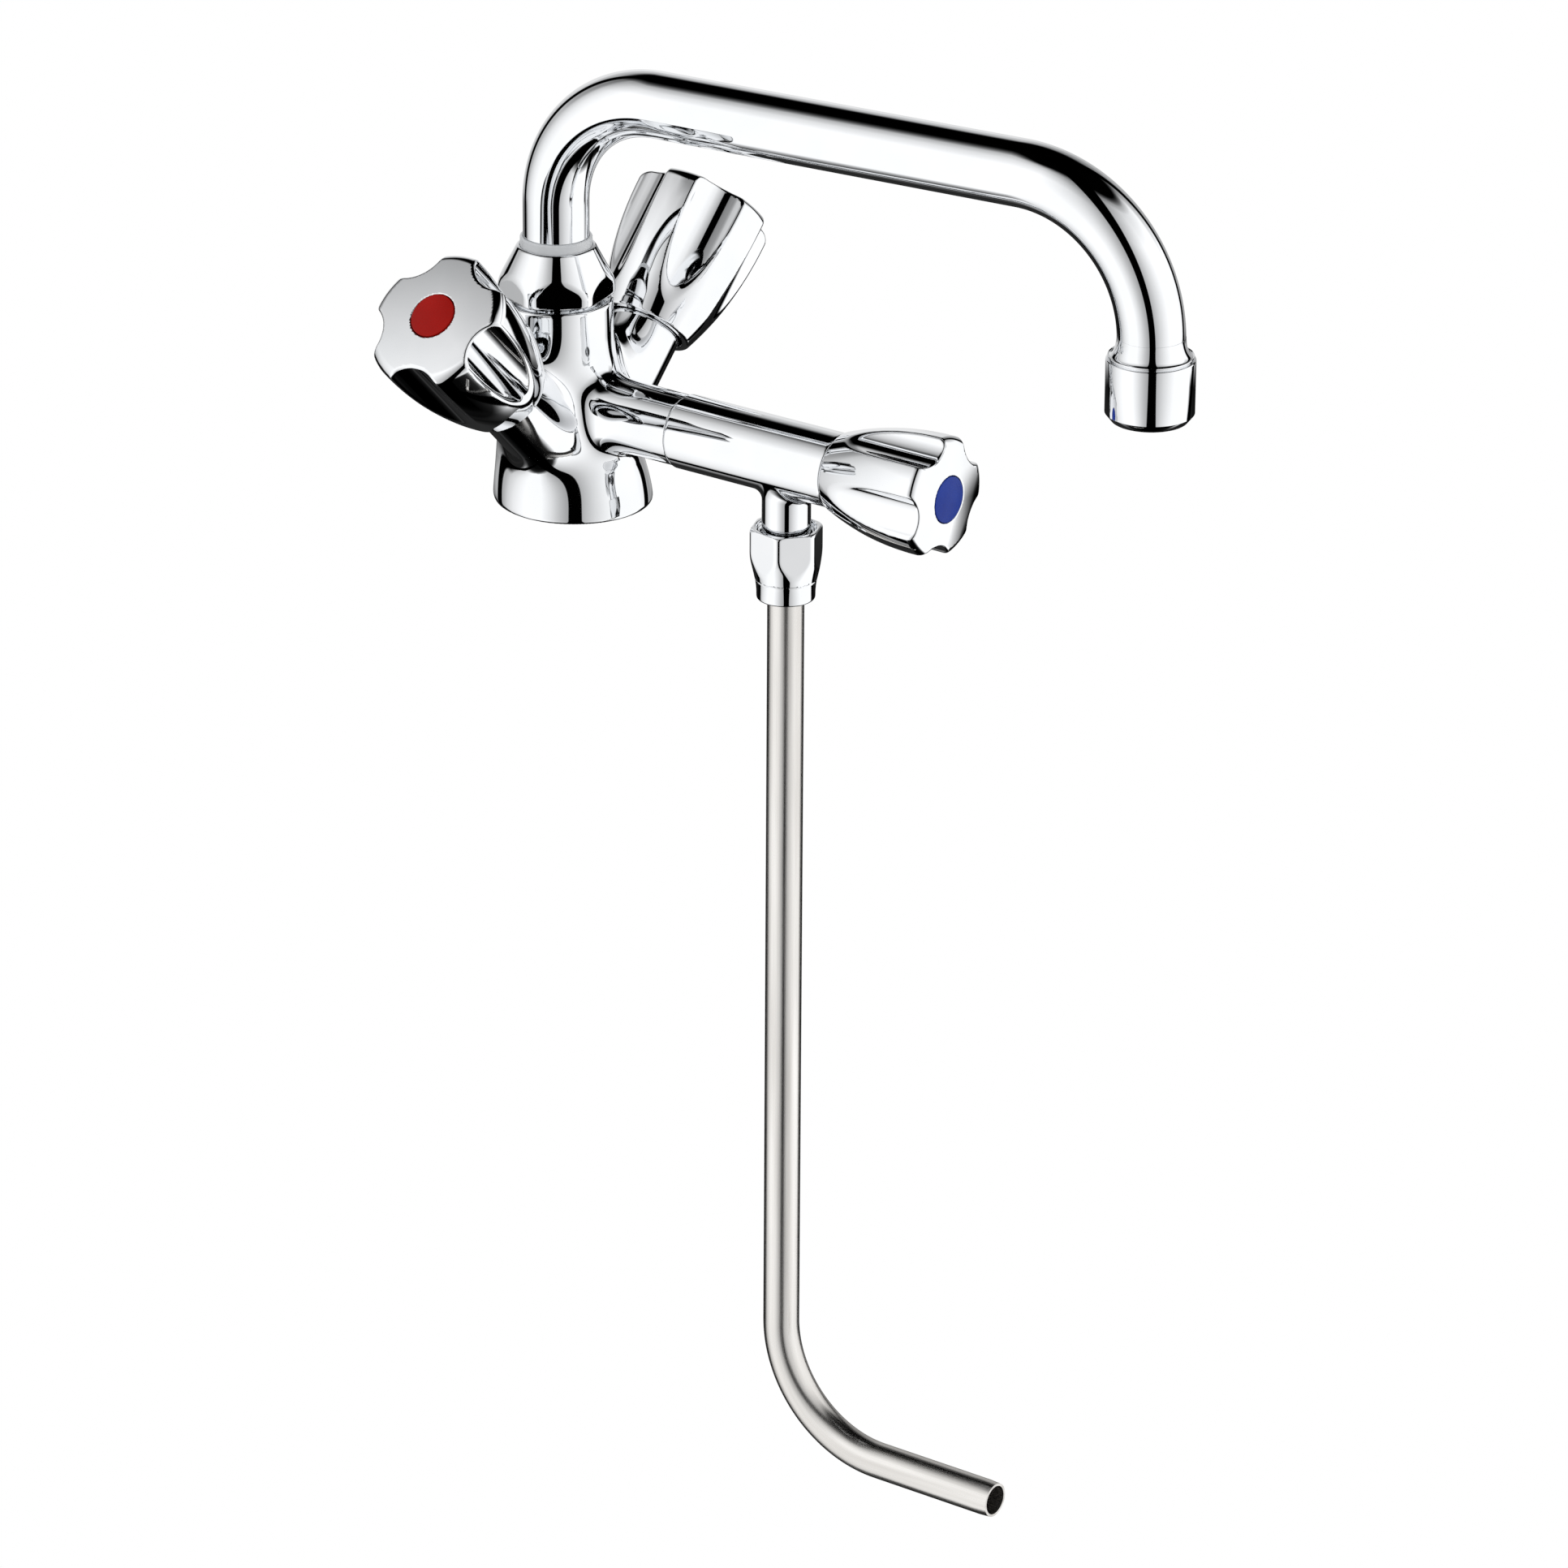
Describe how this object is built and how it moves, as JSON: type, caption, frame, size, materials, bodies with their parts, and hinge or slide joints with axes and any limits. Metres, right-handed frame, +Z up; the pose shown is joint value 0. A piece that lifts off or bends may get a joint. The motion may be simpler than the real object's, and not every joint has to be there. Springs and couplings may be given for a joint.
{
  "type": "mixer tap with side stop valve",
  "caption": "Deck mixer tap: lobed handles on a forked body, swivel spout with aerator, and a side stop valve feeding a long bent down-pipe.",
  "frame": {"origin": "centre of the base's underside, on the deck that the tap is fixed to", "axes": "+Z up out of the deck, +X along the side valve from the base, hot handle towards -Y and cold handle towards +Y"},
  "size_m": [0.209, 0.1459, 0.3918],
  "materials": {
    "chrome": "polished chrome plate",
    "brass": "turned",
    "stainless": "satin drawn tube",
    "spring_steel": "zinc plated",
    "rubber": "matte",
    "grey_plastic": "satin",
    "white_plastic": "moulded",
    "red_plastic": "moulded, slightly domed",
    "blue_plastic": "moulded, slightly domed"
  },
  "bodies": {
    "tap": {"body": "chrome", "base_seal": "rubber", "spout_thrust_ring": "white_plastic", "spout_collar": "grey_plastic", "spout_nut": "chrome", "side_valve_body": "chrome", "side_valve_seal": "rubber", "compression_nut": "chrome", "olive": "brass", "outlet_pipe": "stainless", "hot_headwork": "brass", "hot_headwork_seal": "rubber", "cold_headwork": "brass", "cold_headwork_seal": "rubber", "side_headwork": "brass", "side_headwork_seal": "rubber"},
    "spout": {"spout_tube": "chrome", "spout_spigot": "brass", "spout_lower_o_ring": "rubber", "spout_upper_o_ring": "rubber", "outlet_end": "chrome", "aerator_housing": "chrome", "aerator_insert": "white_plastic", "aerator_washer": "rubber"},
    "hot_turning": {"hot_spindle": "brass", "hot_spindle_o_ring": "rubber", "hot_circlip": "spring_steel", "hot_handle": "chrome", "hot_handle_screw": "spring_steel", "hot_index": "red_plastic"},
    "hot_closing": {"hot_plug": "brass", "hot_plug_washer": "rubber", "hot_washer_screw": "brass"},
    "cold_turning": {"cold_spindle": "brass", "cold_spindle_o_ring": "rubber", "cold_circlip": "spring_steel", "cold_handle": "chrome", "cold_handle_screw": "spring_steel", "cold_index": "blue_plastic"},
    "cold_closing": {"cold_plug": "brass", "cold_plug_washer": "rubber", "cold_washer_screw": "brass"},
    "side_turning": {"side_spindle": "brass", "side_spindle_o_ring": "rubber", "side_circlip": "spring_steel", "side_handle": "chrome", "side_handle_screw": "spring_steel", "side_index": "blue_plastic"},
    "side_closing": {"side_plug": "brass", "side_plug_washer": "rubber", "side_washer_screw": "brass"}
  },
  "joints": [
    {"name": "spout_swivel", "type": "hinge", "parent": "tap", "child": "spout", "pos_m": [-0.006, 0, 0.05], "axis": [0, 0, 1], "continuous": true},
    {"name": "hot_handle_turn", "type": "hinge", "parent": "tap", "child": "hot_turning", "pos_m": [0, -0.03429, 0.04319], "axis": [0, -0.7071, 0.7071], "range_deg": [0, 720]},
    {"name": "hot_plug_lift", "type": "slide", "parent": "tap", "child": "hot_closing", "axis": [0, -0.7071, 0.7071], "range_m": [0, 0.0035]},
    {"name": "cold_handle_turn", "type": "hinge", "parent": "tap", "child": "cold_turning", "pos_m": [0, 0.03429, 0.04319], "axis": [0, 0.7071, 0.7071], "range_deg": [0, 720]},
    {"name": "cold_plug_lift", "type": "slide", "parent": "tap", "child": "cold_closing", "axis": [0, 0.7071, 0.7071], "range_m": [0, 0.0035]},
    {"name": "side_handle_turn", "type": "hinge", "parent": "tap", "child": "side_turning", "pos_m": [0.0892, 0, 0.028], "axis": [1, 0, 0], "range_deg": [0, 720]},
    {"name": "side_plug_lift", "type": "slide", "parent": "tap", "child": "side_closing", "axis": [1, 0, 0], "range_m": [0, 0.0035]}
  ],
  "couplings": [
    {"joint": "hot_plug_lift", "follows": "hot_handle_turn", "m_per_rad": 0.00027852},
    {"joint": "cold_plug_lift", "follows": "cold_handle_turn", "m_per_rad": 0.00027852},
    {"joint": "side_plug_lift", "follows": "side_handle_turn", "m_per_rad": 0.00027852}
  ]
}
